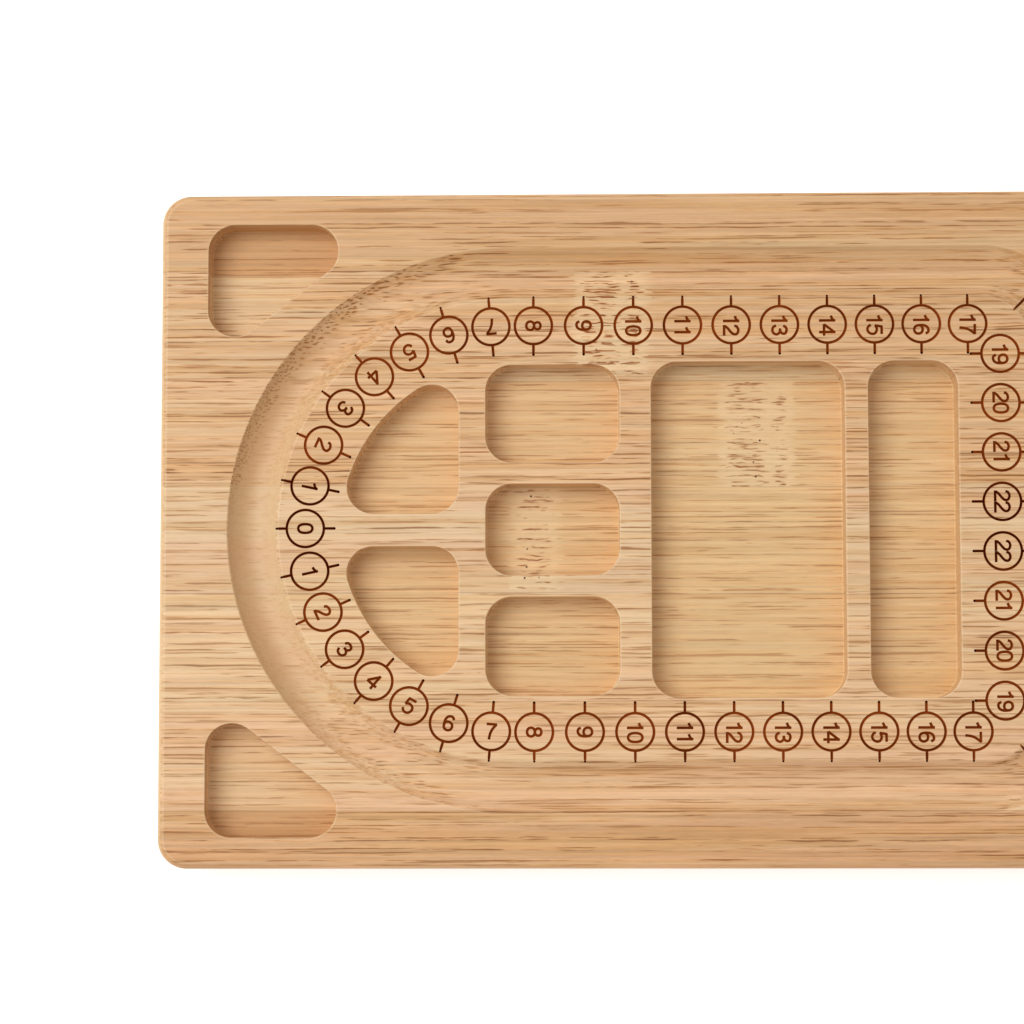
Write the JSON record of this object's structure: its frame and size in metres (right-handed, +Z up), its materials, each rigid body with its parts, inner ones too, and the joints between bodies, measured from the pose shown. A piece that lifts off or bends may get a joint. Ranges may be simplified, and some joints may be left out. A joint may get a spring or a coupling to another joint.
{
  "type": "bead design board",
  "caption": "Flat rectangular bamboo tray with a D-shaped necklace groove, an engraved centimetre scale along it and flat-bottomed bead wells, glued up from strips.",
  "frame": {"origin": "middle of the underside", "axes": "+X along the grain and the board's length, from the round end of the groove to its square end; +Y towards the far long edge; +Z up, out of the face with the wells"},
  "size_m": [0.205, 0.14, 0.015],
  "materials": {
    "face_bamboo": "satin, sanded, fine straight grain",
    "core_bamboo": "satin, as milled, fine straight grain",
    "back_bamboo": "satin, sanded, fine straight grain"
  },
  "bodies": {
    "root": {"back_strip_1": "back_bamboo", "back_strip_2": "back_bamboo", "back_strip_3": "back_bamboo", "back_strip_4": "back_bamboo", "back_strip_5": "back_bamboo", "back_strip_6": "back_bamboo", "back_strip_7": "back_bamboo", "core_strip_1": "core_bamboo", "core_strip_2": "core_bamboo", "core_strip_3": "core_bamboo", "core_strip_4": "core_bamboo", "core_strip_5": "core_bamboo", "core_strip_6": "core_bamboo", "core_strip_7": "core_bamboo", "face_strip_1": "face_bamboo", "face_strip_2": "face_bamboo", "face_strip_3": "face_bamboo", "face_strip_4": "face_bamboo", "face_strip_5": "face_bamboo", "face_strip_6": "face_bamboo", "face_strip_7": "face_bamboo"}
  },
  "joints": []
}
